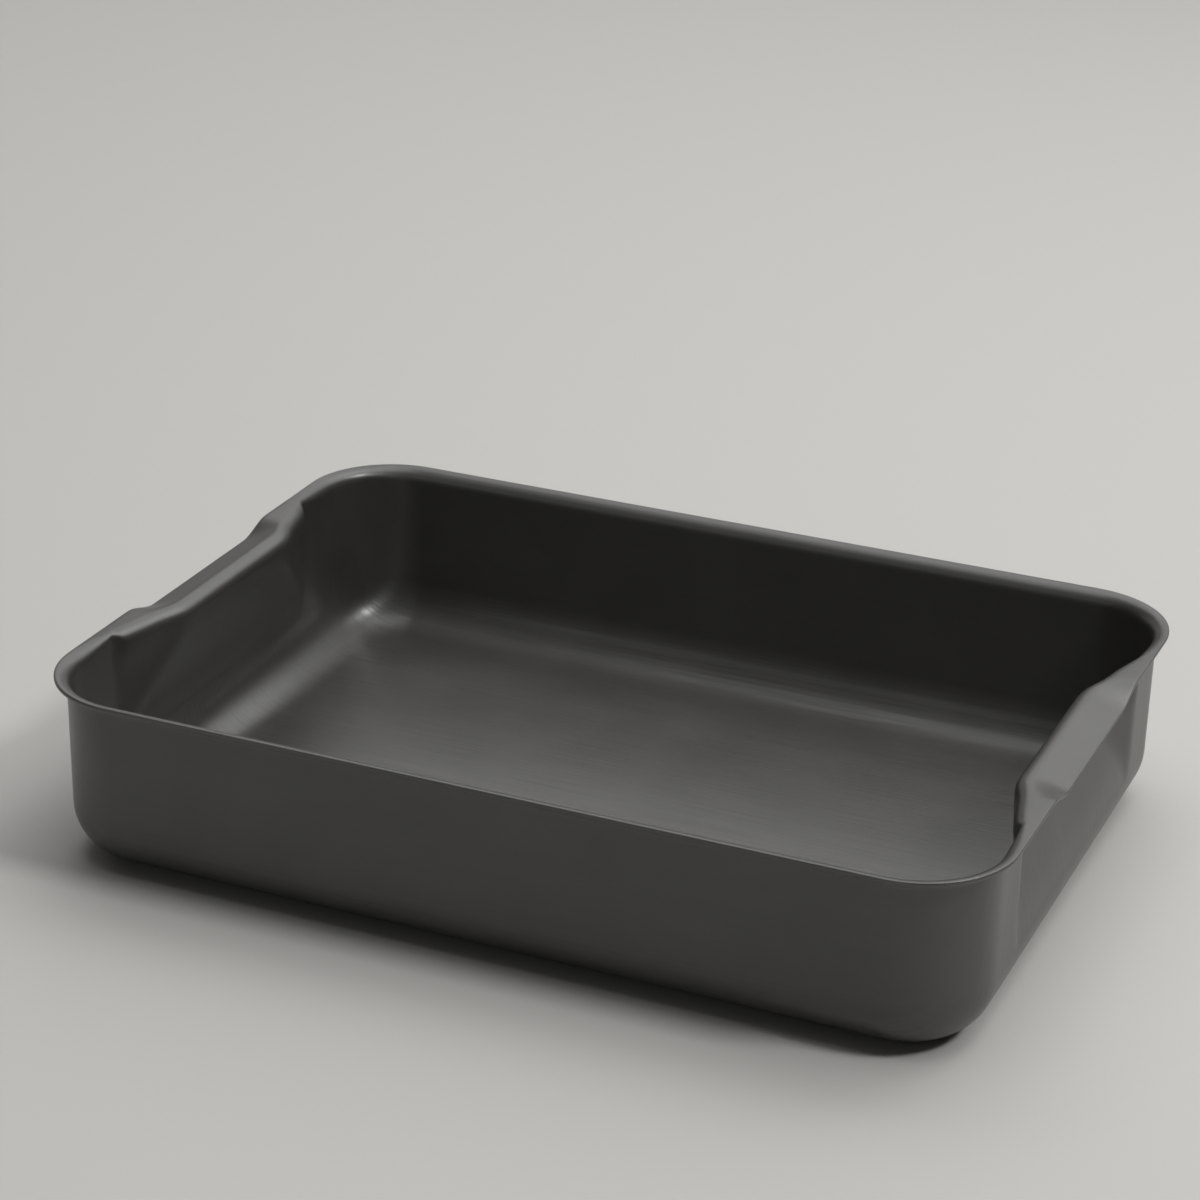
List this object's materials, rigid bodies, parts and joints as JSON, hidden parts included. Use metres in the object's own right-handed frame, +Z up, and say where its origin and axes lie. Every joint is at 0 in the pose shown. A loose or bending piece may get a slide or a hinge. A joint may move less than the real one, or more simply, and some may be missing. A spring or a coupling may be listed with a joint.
{
  "type": "roasting pan",
  "caption": "Deep rectangular roasting pan with rounded corners, a turned-out lip and a handle pressed into each short end.",
  "frame": {"origin": "middle of the underside of the base, on the surface that the pan stands on", "axes": "+X along the pan's length towards one handle, +Y across its width, +Z up out of the open top"},
  "size_m": [0.37, 0.268, 0.0725],
  "materials": {
    "hard_anodised_aluminium": "hard anodised, dark grey, satin"
  },
  "bodies": {
    "root": {"pan": "hard_anodised_aluminium"}
  },
  "joints": []
}
